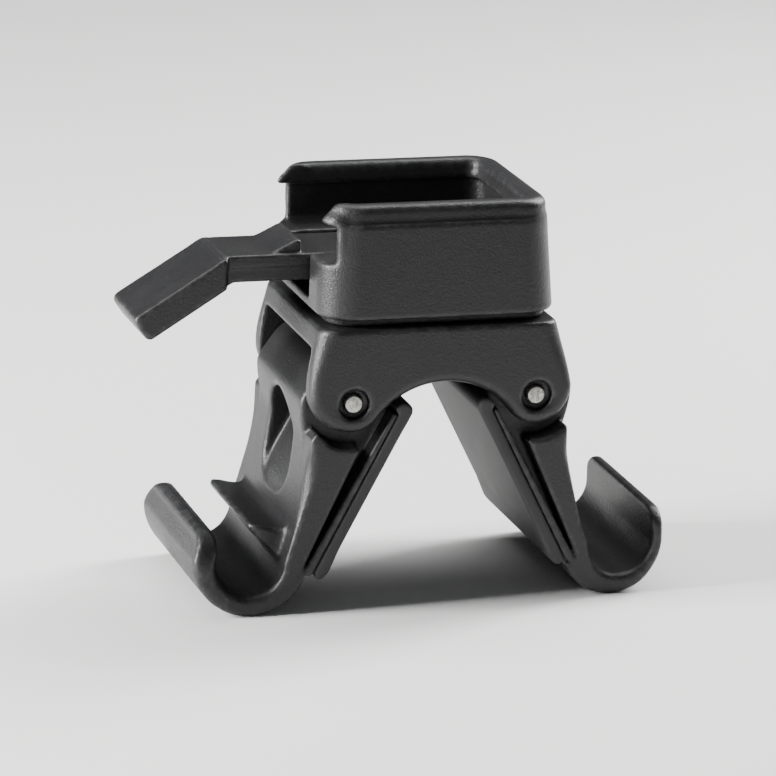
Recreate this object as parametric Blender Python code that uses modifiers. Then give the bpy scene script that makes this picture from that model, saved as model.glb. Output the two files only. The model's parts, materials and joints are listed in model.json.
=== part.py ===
"""Cleat horn clamp mount: a quick-release accessory shoe on a saddle, with two hinged legs.

The saddle's two cheeks carry a steel hinge pin at each end. A leg swings on each pin, holds a
rubber pad towards the tube between the legs, and ends in an upturned horn for a rubber strap.
The shoe on top is a channel that is open at one end, where a sprung latch lever holds what
slides in.

Frame: metres, +X to the closed end of the shoe, -Y towards the front, +Z up. The mount stands on
its two horns, and the origin is on that surface, under the middle of the whole object. The sizes
below are measured from the point midway between the two hinge pins, at the height of their
axes, and one parent empty puts that point in its place.
"""

import math

import bmesh
import bpy
from mathutils import Matrix, Vector

MM = 0.001
GAP = 0.2 * MM

# Where the point midway between the hinge pins goes, over the origin
STAND_X = 5.74 * MM
STAND_Z = 37.5 * MM

# Hinges
PIN_X = 16.6 * MM
PIN_R = 1.6 * MM
PIN_HALF = 18.4 * MM
PIN_BORE_R = 1.8 * MM
RECESS_R = 2.7 * MM
RECESS_DEPTH = 1.5 * MM

# Saddle
HALF_DEPTH = 19.0 * MM
CHEEK_INNER_Y = 15.0 * MM
SADDLE_TOP_Z = 13.3 * MM
PLATE_UNDER_Z = 9.3 * MM
LOBE_R = 5.3 * MM
ARCH_R = 15.3 * MM
ARCH_Z = -12.2 * MM
RIGHT_END = ((20.2 * MM, SADDLE_TOP_Z), (22.0 * MM, 6.8 * MM), (23.2 * MM, 1.5 * MM))
LEFT_END = ((-22.7 * MM, SADDLE_TOP_Z), (-24.1 * MM, 6.8 * MM), (-24.5 * MM, 1.8 * MM))
SADDLE_EDGE = 1.3 * MM

# Legs, drawn on the right and mirrored for the left: the left one is deeper and has the wider horn
LEG_ARC_R = 8.0 * MM
KNUCKLE_R = 7.1 * MM
KNUCKLE_HALF = 14.7 * MM
LEG_HALF = 19.0 * MM
WEB_HALF = 14.5 * MM
RIGHT_FACE = ((22.6 * MM, -6.4 * MM), (24.6 * MM, -18.9 * MM), (27.4 * MM, -27.9 * MM))
LEFT_FACE = ((24.1 * MM, -6.0 * MM), (25.7 * MM, -17.9 * MM), (28.2 * MM, -27.9 * MM))
RIGHT_HORN_IN = (33.5 * MM, -27.9 * MM)
LEFT_HORN_IN = (34.3 * MM, -27.9 * MM)
HORN_IN_R = 6.1 * MM
RIGHT_HORN_OUT = (32.1 * MM, -27.9 * MM)
RIGHT_HORN_OUT_R = 9.6 * MM
LEFT_HORN_OUT = (34.2 * MM, -27.2 * MM)
LEFT_HORN_OUT_R = 10.3 * MM
LIP_Z = -23.3 * MM
RIGHT_LIP_X = 40.6 * MM
LEFT_LIP_X = 41.0 * MM
LIP_R = 1.0 * MM
LEG_HEEL = (24.4 * MM, -30.4 * MM)
LIP_CORNER = 5.5 * MM
LEG_EDGE = 0.7 * MM
SLOT_HALF = 7.4 * MM
SLOT_TOP_Z = -1.7 * MM
SLOT_LOW_Z = -19.6 * MM
SPUR_HALF = 14.2 * MM

# Flange and pad: a line down the inner side of the leg, with distances along it and off it
PAD_TOP = Vector((9.1 * MM, -1.2 * MM))
PAD_FOOT = Vector((24.2 * MM, -30.4 * MM))
FLANGE_T = 0.9 * MM
PAD_T = 3.3 * MM
PAD_HOLLOW = 0.2 * MM

# Shoe
SHOE_LEFT = -22.3 * MM
SHOE_RIGHT = 20.6 * MM
SHOE_HALF = 18.4 * MM
SHOE_LOW_Z = 14.8 * MM
FLOOR_Z = 24.6 * MM
LIP_UNDER_Z = 31.3 * MM
RIM_Z = 34.9 * MM
WALL = 3.0 * MM
CHANNEL_HALF = 15.4 * MM
LIP_HALF = 13.9 * MM
SHOE_CORNER = 6.5 * MM
WALL_END_X = -20.0 * MM
SHOE_LEAN = 0.1
NECK_INSET = 1.6 * MM
CORE_TOP_Z = 21.8 * MM

# Latch lever
POCKET_HALF = 7.6 * MM
POCKET_FLOOR_Z = 16.6 * MM
POCKET_END_X = 0.4 * MM
LATCH_X = -3.0 * MM
LATCH_Z = 21.8 * MM
LATCH_PIN_R = 1.0 * MM
ARM_HALF = 7.1 * MM
ARM_TOP_Z = 24.3 * MM
ARM_LOW_Z = 19.4 * MM
GRIP_HALF = 8.5 * MM
SPRING_X = -13.0 * MM

# Shoe screws
SCREW_X = 9.0 * MM
SCREW_Y = 11.6 * MM
SCREW_R = 1.2 * MM
SCREW_HOLE_R = 1.4 * MM
HEAD_R = 2.4 * MM
HEAD_H = 1.7 * MM
BOSS_R = 2.9 * MM
SCREW_TOP_Z = 21.0 * MM


def stand(collection, root):
    """Hangs every object of a collection on the empty that puts the mount over the origin."""
    for obj in collection.objects:
        obj.parent = root


def clear_scene():
    for obj in list(bpy.data.objects):
        bpy.data.objects.remove(obj, do_unlink=True)


def make_collection(name):
    collection = bpy.data.collections.new(name)
    bpy.context.scene.collection.children.link(collection)
    return collection


def make_material(name, colour, roughness, metallic=0.0):
    material = bpy.data.materials.new(name)
    material.use_nodes = True
    shader = material.node_tree.nodes["Principled BSDF"]
    shader.inputs["Base Color"].default_value = (*colour, 1.0)
    shader.inputs["Roughness"].default_value = roughness
    shader.inputs["Metallic"].default_value = metallic
    return material


def arc(centre, radius, start, end, steps):
    """Points on a circle from one angle to another, in degrees."""
    points = []
    for i in range(steps + 1):
        angle = math.radians(start + (end - start) * i / steps)
        points.append((centre[0] + radius * math.cos(angle), centre[1] + radius * math.sin(angle)))
    return points


def ellipse(centre, radii, start, end, steps):
    return [
        (centre[0] + radii[0] * (x - centre[0]), centre[1] + radii[1] * (y - centre[1]))
        for x, y in arc(centre, 1.0, start, end, steps)
    ]


def bow(first, middle, last, steps):
    """A smooth run through three points, as a quadratic."""
    points = []
    for i in range(steps + 1):
        t = i / steps
        a, b, c = 2 * (t - 0.5) * (t - 1), -4 * t * (t - 1), 2 * t * (t - 0.5)
        points.append(tuple(a * p + b * q + c * r for p, q, r in zip(first, middle, last)))
    return points


def rounded_plan(left, right, half, corners, steps):
    """A rounded rectangle seen from above. corners: radii at the left and at the right."""
    rl, rr = corners
    points = arc((right - rr, half - rr), rr, 0, 90, steps)
    points += arc((left + rl, half - rl), rl, 90, 180, steps)
    points += arc((left + rl, -half + rl), rl, 180, 270, steps)
    points += arc((right - rr, -half + rr), rr, 270, 360, steps)
    return points


def link(mesh, name, collection):
    obj = bpy.data.objects.new(name, mesh)
    collection.objects.link(obj)
    return obj


def outline_mesh(points, half, matrix):
    """A solid from a flat outline: a filled 2D curve, extruded both ways, made a mesh and welded."""
    curve = bpy.data.curves.new("outline", "CURVE")
    curve.dimensions = "2D"
    curve.fill_mode = "BOTH"
    curve.extrude = half
    spline = curve.splines.new("POLY")
    spline.points.add(len(points) - 1)
    for point, (x, y) in zip(spline.points, points):
        point.co = (x, y, 0.0, 1.0)
    spline.use_cyclic_u = True
    holder = bpy.data.objects.new("outline", curve)
    bpy.context.scene.collection.objects.link(holder)
    bpy.context.view_layer.update()
    graph = bpy.context.evaluated_depsgraph_get()
    mesh = bpy.data.meshes.new_from_object(holder.evaluated_get(graph))
    bpy.data.objects.remove(holder, do_unlink=True)
    work = bmesh.new()
    work.from_mesh(mesh)
    bmesh.ops.remove_doubles(work, verts=work.verts, dist=1e-6)
    bmesh.ops.dissolve_limit(
        work, angle_limit=math.radians(0.5), verts=work.verts, edges=work.edges
    )
    bmesh.ops.transform(work, matrix=matrix, verts=work.verts)
    bmesh.ops.recalc_face_normals(work, faces=work.faces)
    work.to_mesh(mesh)
    work.free()
    return mesh


def across(name, points, half, collection, y=0.0):
    """An outline in X and Z, extruded along Y."""
    turn = Matrix.Translation((0, y, 0)) @ Matrix.Rotation(math.radians(90), 4, "X")
    return link(outline_mesh(points, half, turn), name, collection)


def upright(name, points, low, high, collection):
    """An outline in X and Y, extruded along Z."""
    lift = Matrix.Translation((0, 0, (low + high) / 2))
    return link(outline_mesh(points, (high - low) / 2, lift), name, collection)


def lengthways(name, points, start, end, collection):
    """An outline in Y and Z, extruded along X."""
    turn = Matrix(((0, 0, 1, (start + end) / 2), (1, 0, 0, 0), (0, 1, 0, 0), (0, 0, 0, 1)))
    return link(outline_mesh(points, (end - start) / 2, turn), name, collection)


def box(name, low, high, collection):
    """A box between two corners."""
    work = bmesh.new()
    bmesh.ops.create_cube(work, size=1.0)
    size = Vector(high) - Vector(low)
    middle = (Vector(high) + Vector(low)) / 2
    bmesh.ops.transform(
        work, matrix=Matrix.Translation(middle) @ Matrix.Diagonal((*size, 1)), verts=work.verts
    )
    mesh = bpy.data.meshes.new(name)
    work.to_mesh(mesh)
    work.free()
    return link(mesh, name, collection)


def cylinder(name, radius, low, high, collection, axis="Y", sides=32, place=(0, 0, 0), top=None):
    """A cylinder or, with a top radius, a cone, from low to high along the axis."""
    work = bmesh.new()
    bmesh.ops.create_cone(
        work,
        cap_ends=True,
        segments=sides,
        radius1=radius,
        radius2=radius if top is None else top,
        depth=high - low,
    )
    shift = Matrix.Translation((0, 0, (low + high) / 2))
    turns = {"Z": Matrix.Identity(4), "Y": Matrix.Rotation(math.radians(-90), 4, "X")}
    bmesh.ops.transform(
        work, matrix=Matrix.Translation(place) @ turns[axis] @ shift, verts=work.verts
    )
    mesh = bpy.data.meshes.new(name)
    work.to_mesh(mesh)
    work.free()
    return link(mesh, name, collection)


def combine(obj, other, operation="DIFFERENCE"):
    other.hide_render = True
    other.display_type = "WIRE"
    modifier = obj.modifiers.new(other.name, "BOOLEAN")
    modifier.operation = operation
    modifier.solver = "EXACT"
    modifier.object = other


def round_edges(obj, width, segments=2, angle=40):
    bevel = obj.modifiers.new("rounded edges", "BEVEL")
    bevel.width = width
    bevel.segments = segments
    bevel.limit_method = "ANGLE"
    bevel.angle_limit = math.radians(angle)
    bevel.use_clamp_overlap = True


def finish_piece(obj, material, pivot=None):
    """Gives the material, shades round faces smooth and puts the origin on the joint's axis."""
    obj.data.materials.clear()
    obj.data.materials.append(material)
    obj.data.shade_smooth()
    obj.data.set_sharp_from_angle(angle=math.radians(35))
    if pivot:
        obj.data.transform(Matrix.Translation(-Vector(pivot)))
        obj.location = pivot
    return obj


def mirrored(points, side):
    return [(side * x, z) for x, z in points]


def saddle_outline():
    lobe = (PIN_X, 0.0)
    span = math.hypot(PIN_X, ARCH_Z)
    meet = math.degrees(math.atan2(-ARCH_Z, PIN_X))
    points = bow(*RIGHT_END, 6)
    right_low = (PIN_X, RIGHT_END[2][1])
    radii = (RIGHT_END[2][0] - PIN_X, RIGHT_END[2][1] + LOBE_R)
    points += ellipse(right_low, radii, 0, -90, 10)[1:]
    points += arc(lobe, LOBE_R, -90, meet - 180, 6)[1:]
    points += arc((0.0, ARCH_Z), span - LOBE_R, meet, 180 - meet, 18)[1:]
    points += arc((-PIN_X, 0.0), LOBE_R, -meet, -90, 6)[1:]
    left_low = (-PIN_X, LEFT_END[2][1])
    radii = (-PIN_X - LEFT_END[2][0], LEFT_END[2][1] + LOBE_R)
    points += ellipse(left_low, radii, -90, -180, 10)[1:]
    points += bow(*LEFT_END[::-1], 6)[1:]
    return points


def build_saddle(parts, cutters, material):
    saddle = across("saddle", saddle_outline(), HALF_DEPTH, parts)
    round_edges(saddle, SADDLE_EDGE, 2)
    far = 40 * MM
    hollow = box(
        "saddle_hollow_cut", (-far, -CHEEK_INNER_Y, -far), (far, CHEEK_INNER_Y, PLATE_UNDER_Z), cutters
    )
    combine(saddle, hollow)
    for side, word in ((-1, "left"), (1, "right")):
        place = (side * PIN_X, 0, 0)
        bore_r = PIN_R + GAP
        bore = cylinder(f"{word}_pin_bore_cut", bore_r, -far, far, cutters, sides=24, place=place)
        combine(saddle, bore)
        for face, name in ((-1, "front"), (1, "back")):
            ends = sorted((face * (HALF_DEPTH - RECESS_DEPTH), face * far))
            recess = cylinder(
                f"{word}_{name}_recess_cut", RECESS_R, *ends, cutters, sides=32, place=place
            )
            combine(saddle, recess)
    for x, y, word in screw_places():
        hole = cylinder(
            f"saddle_{word}_hole_cut", SCREW_HOLE_R, 0, far, cutters, "Z", 16, (x, y, 0)
        )
        combine(saddle, hole)
    return finish_piece(saddle, material)


def screw_places():
    places = []
    for x, across_word in ((-SCREW_X, "left"), (SCREW_X, "right")):
        for y, depth_word in ((-SCREW_Y, "front"), (SCREW_Y, "back")):
            places.append((x, y, f"{depth_word}_{across_word}"))
    return places


def leg_outline(side):
    if side < 0:
        shoulder, face, horn_in, lip_x = -36, LEFT_FACE, LEFT_HORN_IN, LEFT_LIP_X
        horn_out, horn_out_r = LEFT_HORN_OUT, LEFT_HORN_OUT_R
    else:
        shoulder, face, horn_in, lip_x = -42, RIGHT_FACE, RIGHT_HORN_IN, RIGHT_LIP_X
        horn_out, horn_out_r = RIGHT_HORN_OUT, RIGHT_HORN_OUT_R
    points = arc((PIN_X, 0.0), LEG_ARC_R, -100.5, shoulder, 10)
    points += bow(*face, 8)
    points += arc(horn_in, HORN_IN_R, 184, 360, 16)[1:]
    points += arc((lip_x, LIP_Z), LIP_R, 180, 0, 6)
    points += arc(horn_out, horn_out_r, 0, -157, 20)
    points.append(LEG_HEEL)
    return points


def on_pad_line(along, off):
    """A point of the right leg, from distances along the flange line and inwards off it."""
    run = (PAD_FOOT - PAD_TOP).normalized()
    inward = Vector((run.y, -run.x))
    place = PAD_TOP + run * along + inward * off
    return (place.x, place.y)


def flange_outline():
    length = (PAD_FOOT - PAD_TOP).length
    return [
        on_pad_line(0.6 * MM, 0.0),
        on_pad_line(0.6 * MM, FLANGE_T),
        on_pad_line(length, FLANGE_T),
        on_pad_line(length + 0.6 * MM, -0.8 * MM),
    ]


def web_outline():
    return [
        on_pad_line(1.2 * MM, FLANGE_T / 2),
        on_pad_line(30.5 * MM, FLANGE_T / 2),
        (23.6 * MM, -27.5 * MM),
        (20.5 * MM, -14.0 * MM),
        (19.5 * MM, -5.0 * MM),
        (12.5 * MM, -1.0 * MM),
    ]


def spur_outline():
    points = [(25.2 * MM, -22.2 * MM), (26.9 * MM, -28.2 * MM), (28.4 * MM, -27.8 * MM)]
    points += arc((33.2 * MM, -22.7 * MM), 0.6 * MM, -50, 95, 5)
    points.append((29.0 * MM, -22.9 * MM))
    return points


def pad_outline():
    """The rubber pad: it lies on the flange, wraps over its top end and is bevelled at its foot."""
    back = FLANGE_T + GAP
    round_r = 1.55 * MM
    points = [on_pad_line(0.35 * MM, back), on_pad_line(0.35 * MM, 0.1 * MM)]
    centre_along, centre_off = -0.35 * MM, 0.1 * MM + round_r
    for i in range(9):
        angle = math.pi * i / 8
        along = centre_along - round_r * math.sin(angle)
        points.append(on_pad_line(along, centre_off - round_r * math.cos(angle)))
    points.append(on_pad_line(4.5 * MM, PAD_T - PAD_HOLLOW))
    points.append(on_pad_line(26.5 * MM, PAD_T - PAD_HOLLOW))
    points.append(on_pad_line(30.6 * MM, PAD_T + 0.1 * MM))
    points.append(on_pad_line(32.3 * MM, 3.0 * MM))
    points.append(on_pad_line(33.0 * MM, 2.3 * MM))
    points.append(on_pad_line(32.6 * MM, 1.5 * MM))
    points.append(on_pad_line(32.0 * MM, back))
    return points


def lip_trim(name, side, collection):
    """The two corners of the horn's lip, seen along X, that are cut off to round it."""
    top = LIP_Z + 4 * MM
    edge = LIP_Z + LIP_R
    far = LEG_HALF + 5 * MM
    lip_x = LEFT_LIP_X if side < 0 else RIGHT_LIP_X
    pieces = []
    for face in (-1, 1):
        centre = (face * (LEG_HALF - LIP_CORNER), edge - LIP_CORNER)
        start, end = (90, 0) if face > 0 else (90, 180)
        points = arc(centre, LIP_CORNER, start, end, 8)
        points += [(face * far, edge - LIP_CORNER), (face * far, top), (centre[0], top)]
        ends = sorted((side * (lip_x - 3.0 * MM), side * (lip_x + 5 * MM)))
        word = "front" if face < 0 else "back"
        pieces.append(lengthways(f"{name}_{word}_lip_cut", points, *ends, collection))
    return pieces


def slot_cutter(name, side, collection):
    """The slot in the leg's outer wall: round-ended seen along X, and bounded inside by the flange."""
    points = arc((0.0, SLOT_TOP_Z - SLOT_HALF), SLOT_HALF, 0, 180, 12)
    low = SLOT_HALF * 0.75
    points += arc((-SLOT_HALF + low, SLOT_LOW_Z + low), low, 180, 270, 5)
    points += arc((SLOT_HALF - low, SLOT_LOW_Z + low), low, 270, 360, 5)
    ends = sorted((side * 14 * MM, side * 40 * MM))
    slot = lengthways(name, points, *ends, collection)
    keep = [
        (20.0 * MM, 2.0 * MM),
        (19.5 * MM, -3.5 * MM),
        (19.1 * MM, -6.9 * MM),
        (26.1 * MM, -19.7 * MM),
        (45.0 * MM, -19.7 * MM),
        (45.0 * MM, 2.0 * MM),
    ]
    keep_solid = across(f"{name}_depth", mirrored(keep, side), 12 * MM, collection)
    combine(slot, keep_solid, "INTERSECT")
    return slot


def build_leg(word, side, parts, cutters, material):
    leg = across(f"{word}_leg", mirrored(leg_outline(side), side), LEG_HALF, parts)
    round_edges(leg, LEG_EDGE, 2, 50)
    place = (side * PIN_X, 0, 0)
    barrel = cylinder(
        f"{word}_knuckle", KNUCKLE_R, -KNUCKLE_HALF, KNUCKLE_HALF, cutters, sides=40, place=place
    )
    web = across(f"{word}_web", mirrored(web_outline(), side), WEB_HALF, cutters)
    flange = across(f"{word}_flange", mirrored(flange_outline(), side), LEG_HALF - 0.2 * MM, cutters)
    for piece in (barrel, web, flange):
        combine(leg, piece, "UNION")
    if side < 0:
        spur = across("left_spur", mirrored(spur_outline(), side), SPUR_HALF, cutters)
        combine(leg, spur, "UNION")
    bore = cylinder(f"{word}_leg_bore_cut", PIN_BORE_R, -0.03, 0.03, cutters, sides=24, place=place)
    combine(leg, bore)
    combine(leg, slot_cutter(f"{word}_slot_cut", side, cutters))
    for trim in lip_trim(f"{word}_leg", side, cutters):
        combine(leg, trim)
    return finish_piece(leg, material, place)


def build_pad(word, side, parts, material):
    pad = across(f"{word}_pad", mirrored(pad_outline(), side), LEG_HALF, parts)
    round_edges(pad, 0.3 * MM, 1, 60)
    return finish_piece(pad, material, (side * PIN_X, 0, 0))


def build_hinge_pin(word, side, parts, material):
    """A plain pin with broken edges: the profile is turned about the pin's own axis."""
    edge = 0.25 * MM
    profile = [(0, PIN_HALF), (PIN_R - edge, PIN_HALF), (PIN_R, PIN_HALF - edge)]
    profile += [(x, -z) for x, z in reversed(profile)]
    return turned(f"{word}_hinge_pin", profile, 24, "Y", (side * PIN_X, 0, 0), parts, material)


def turned(name, profile, steps, axis, place, collection, material):
    """A profile in X and Z, from its top down its outer side, turned about Z by a Screw modifier."""
    mesh = bpy.data.meshes.new(name)
    points = [(x, 0.0, z) for x, z in profile]
    mesh.from_pydata(points, [(i, i + 1) for i in range(len(points) - 1)], [])
    obj = link(mesh, name, collection)
    screw = obj.modifiers.new("turned", "SCREW")
    screw.steps = steps
    screw.render_steps = steps
    screw.use_merge_vertices = True
    screw.merge_threshold = 1e-5
    screw.use_smooth_shade = True
    if axis == "Y":
        obj.rotation_euler = (math.radians(90), 0, 0)
    obj.location = place
    mesh.materials.append(material)
    return obj


def lean(obj, pivot_z):
    """Leans the closed end of the shoe inwards towards its top."""
    for vertex in obj.data.vertices:
        if vertex.co.x > 0 and vertex.co.z > pivot_z:
            vertex.co.x -= SHOE_LEAN * (vertex.co.z - pivot_z)


def build_shoe(parts, cutters, material):
    corners = (SHOE_CORNER, SHOE_CORNER)
    plan = rounded_plan(SHOE_LEFT, SHOE_RIGHT, SHOE_HALF, corners, 6)
    shoe = upright("shoe", plan, SHOE_LOW_Z, RIM_Z, parts)
    lean(shoe, SHOE_LOW_Z)
    round_edges(shoe, 1.0 * MM, 2, 40)
    far = 60 * MM
    top_x = SHOE_RIGHT - SHOE_LEAN * (LIP_UNDER_Z - SHOE_LOW_Z)
    plan = rounded_plan(-far, top_x - WALL, CHANNEL_HALF, (1 * MM, SHOE_CORNER - 2 * MM), 4)
    combine(shoe, upright("channel_cut", plan, FLOOR_Z, LIP_UNDER_Z, cutters))
    plan = rounded_plan(-far, top_x - WALL - 1.2 * MM, LIP_HALF, (1 * MM, SHOE_CORNER - 3 * MM), 4)
    combine(shoe, upright("mouth_cut", plan, LIP_UNDER_Z - 1 * MM, far, cutters))
    low, high = (-far, -far, FLOOR_Z), (WALL_END_X, far, LIP_UNDER_Z)
    combine(shoe, box("wall_end_cut", low, high, cutters))
    neck = rounded_plan(
        SHOE_LEFT + NECK_INSET, SHOE_RIGHT - NECK_INSET, SHOE_HALF - NECK_INSET, corners, 5
    )
    neck_solid = upright("shoe_neck", neck, SADDLE_TOP_Z + GAP, SHOE_LOW_Z + 0.5 * MM, cutters)
    combine(shoe, neck_solid, "UNION")
    low, high = (-far, -POCKET_HALF, POCKET_FLOOR_Z), (POCKET_END_X, POCKET_HALF, far)
    combine(shoe, box("latch_pocket_cut", low, high, cutters))
    for core in shoe_cores(cutters):
        combine(shoe, core)
    for x, y, word in screw_places():
        hole = cylinder(
            f"shoe_{word}_hole_cut", SCREW_HOLE_R, 0, SCREW_TOP_Z + 0.5 * MM, cutters, "Z", 16, (x, y, 0)
        )
        combine(shoe, hole)
    place = (LATCH_X, 0, LATCH_Z)
    half = POCKET_HALF + 3.2 * MM
    bore = cylinder(
        "latch_pin_bore_cut", LATCH_PIN_R + GAP, -half, half, cutters, sides=20, place=place
    )
    combine(shoe, bore)
    return finish_piece(shoe, material)


def shoe_cores(cutters):
    """The hollows under the shoe's floor: one each side of the latch pocket, round the bosses."""
    cores = []
    low_z = SHOE_LOW_Z - 4 * MM
    side_in = POCKET_HALF + 2.0 * MM
    side_out = SHOE_HALF - 3.2 * MM
    left, right = SHOE_LEFT + 5.0 * MM, SHOE_RIGHT - 4.6 * MM
    for face, word in ((-1, "front"), (1, "back")):
        ys = sorted((face * side_in, face * side_out))
        core = box(f"{word}_core_cut", (left, ys[0], low_z), (right, ys[1], CORE_TOP_Z), cutters)
        for x, y, place_word in screw_places():
            if y * face > 0:
                boss = cylinder(
                    f"{place_word}_boss", BOSS_R, low_z - 1 * MM, 0.03, cutters, "Z", 20, (x, y, 0)
                )
                combine(core, boss)
        cores.append(core)
    low = (POCKET_END_X + 2.5 * MM, -side_in + 2.5 * MM, low_z)
    cores.append(box("middle_core_cut", low, (right, side_in - 2.5 * MM, CORE_TOP_Z), cutters))
    return cores


def lever_outline():
    """Side view of the latch lever: pivot end, flat arm with a ramped catch, and sloping grip."""
    points = arc((LATCH_X, LATCH_Z), 2.4 * MM, 80, -80, 8)
    points += [
        (-35.4 * MM, ARM_LOW_Z),
        (-37.5 * MM, 18.2 * MM),
        (-50.2 * MM, 10.2 * MM),
        (-51.1 * MM, 10.4 * MM),
        (-53.4 * MM, 13.5 * MM),
        (-53.2 * MM, 14.3 * MM),
        (-38.2 * MM, 23.6 * MM),
        (-36.2 * MM, ARM_TOP_Z),
        (-29.0 * MM, ARM_TOP_Z),
        (-24.3 * MM, 26.5 * MM),
        (-23.4 * MM, 26.5 * MM),
        (-23.4 * MM, ARM_TOP_Z),
    ]
    return points


def build_lever(parts, cutters, material):
    lever = across("latch_lever", lever_outline(), GRIP_HALF, parts)
    round_edges(lever, 0.5 * MM, 2, 50)
    for face, word in ((-1, "front"), (1, "back")):
        ys = sorted((face * ARM_HALF, face * 20 * MM))
        low, high = (-36.9 * MM, ys[0], 0), (10 * MM, ys[1], 40 * MM)
        combine(lever, box(f"lever_{word}_side_cut", low, high, cutters))
    place = (LATCH_X, 0, LATCH_Z)
    bore_r = LATCH_PIN_R + GAP
    bore = cylinder("lever_bore_cut", bore_r, -0.02, 0.02, cutters, sides=20, place=place)
    combine(lever, bore)
    low = ARM_LOW_Z - 2 * MM
    seat = cylinder(
        "spring_seat_cut", 2.6 * MM, low, ARM_LOW_Z + 1.8 * MM, cutters, "Z", 24, (SPRING_X, 0, 0)
    )
    combine(lever, seat)
    return finish_piece(lever, material, place)


def build_latch_pin(parts, material):
    half = POCKET_HALF + 2.9 * MM
    edge = 0.15 * MM
    profile = [(0, half), (LATCH_PIN_R - edge, half), (LATCH_PIN_R, half - edge)]
    profile += [(x, -z) for x, z in reversed(profile)]
    place = (LATCH_X, 0, LATCH_Z)
    return turned("latch_pivot_pin", profile, 20, "Y", place, parts, material)


def build_spring(parts, material):
    """The latch's return spring: a coil of round wire between the pocket's floor and the arm."""
    wire_r = 0.25 * MM
    coil_r = 1.9 * MM
    low = POCKET_FLOOR_Z + GAP + wire_r
    high = ARM_LOW_Z + 1.8 * MM - GAP - wire_r
    turns, per_turn = 4.5, 14
    count = int(turns * per_turn)
    curve = bpy.data.curves.new("latch_spring", "CURVE")
    curve.dimensions = "3D"
    curve.bevel_depth = wire_r
    curve.bevel_resolution = 1
    curve.use_fill_caps = True
    spline = curve.splines.new("POLY")
    spline.points.add(count)
    for i, point in enumerate(spline.points):
        angle = 2 * math.pi * i / per_turn
        x = SPRING_X + coil_r * math.cos(angle)
        z = low + (high - low) * i / count
        point.co = (x, coil_r * math.sin(angle), z, 1.0)
    spring = bpy.data.objects.new("latch_spring", curve)
    parts.objects.link(spring)
    curve.materials.append(material)
    return spring


def build_screw(x, y, word, parts, material):
    """A pan-head screw, put in from below through the saddle's plate."""
    seat = PLATE_UNDER_Z - GAP
    edge = 0.5 * MM
    profile = [
        (0, SCREW_TOP_Z),
        (SCREW_R * 0.5, SCREW_TOP_Z),
        (SCREW_R, SCREW_TOP_Z - 1.0 * MM),
        (SCREW_R, seat),
        (HEAD_R, seat),
        (HEAD_R, seat - HEAD_H + edge),
        (HEAD_R - edge, seat - HEAD_H),
        (1.1 * MM, seat - HEAD_H),
        (0.9 * MM, seat - HEAD_H + 0.9 * MM),
        (0, seat - HEAD_H + 0.9 * MM),
    ]
    return turned(f"shoe_screw_{word}", profile, 20, "Z", (x, y, 0), parts, material)


def main():
    clear_scene()
    parts = make_collection("cleat_horn_clamp_mount")
    cutters = make_collection("cutters")
    nylon = make_material("black_nylon", (0.018, 0.018, 0.02), 0.5)
    rubber = make_material("black_rubber", (0.022, 0.022, 0.023), 0.7)
    steel = make_material("pin_steel", (0.42, 0.42, 0.40), 0.4, 1.0)
    zinc = make_material("screw_steel", (0.5, 0.5, 0.5), 0.35, 1.0)
    wire = make_material("spring_steel", (0.45, 0.45, 0.45), 0.35, 1.0)
    build_saddle(parts, cutters, nylon)
    for word, side in (("left", -1), ("right", 1)):
        build_leg(word, side, parts, cutters, nylon)
        build_pad(word, side, parts, rubber)
        build_hinge_pin(word, side, parts, steel)
    build_shoe(parts, cutters, nylon)
    build_lever(parts, cutters, nylon)
    build_latch_pin(parts, steel)
    build_spring(parts, wire)
    for x, y, word in screw_places():
        build_screw(x, y, word, parts, zinc)
    root = bpy.data.objects.new("mount_root", None)
    root.location = (STAND_X, 0, STAND_Z)
    bpy.context.scene.collection.objects.link(root)
    stand(parts, root)
    stand(cutters, root)


main()
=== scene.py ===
"""Cleat horn clamp mount: the finished surfaces, their materials, the light and the camera.

Each moulded piece is written as a distance field: a function of X, Y and Z that is negative inside
the piece. Fields are joined and cut with a chosen radius, which gives every edge and inside corner
the round that a mould gives it, and skin() turns a field into a fine mesh. Pins are turned
profiles. The latch's spring and the four screws come from Geometry Nodes.

Sizes are in millimetres, from the point midway between the two hinge pins, and to_frame() puts a
finished mesh in its place. X runs to the shoe's closed end, -Y to the front and Z up.
"""

import json
import math

import bpy
import numpy as np
from mathutils import Matrix, Vector


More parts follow.
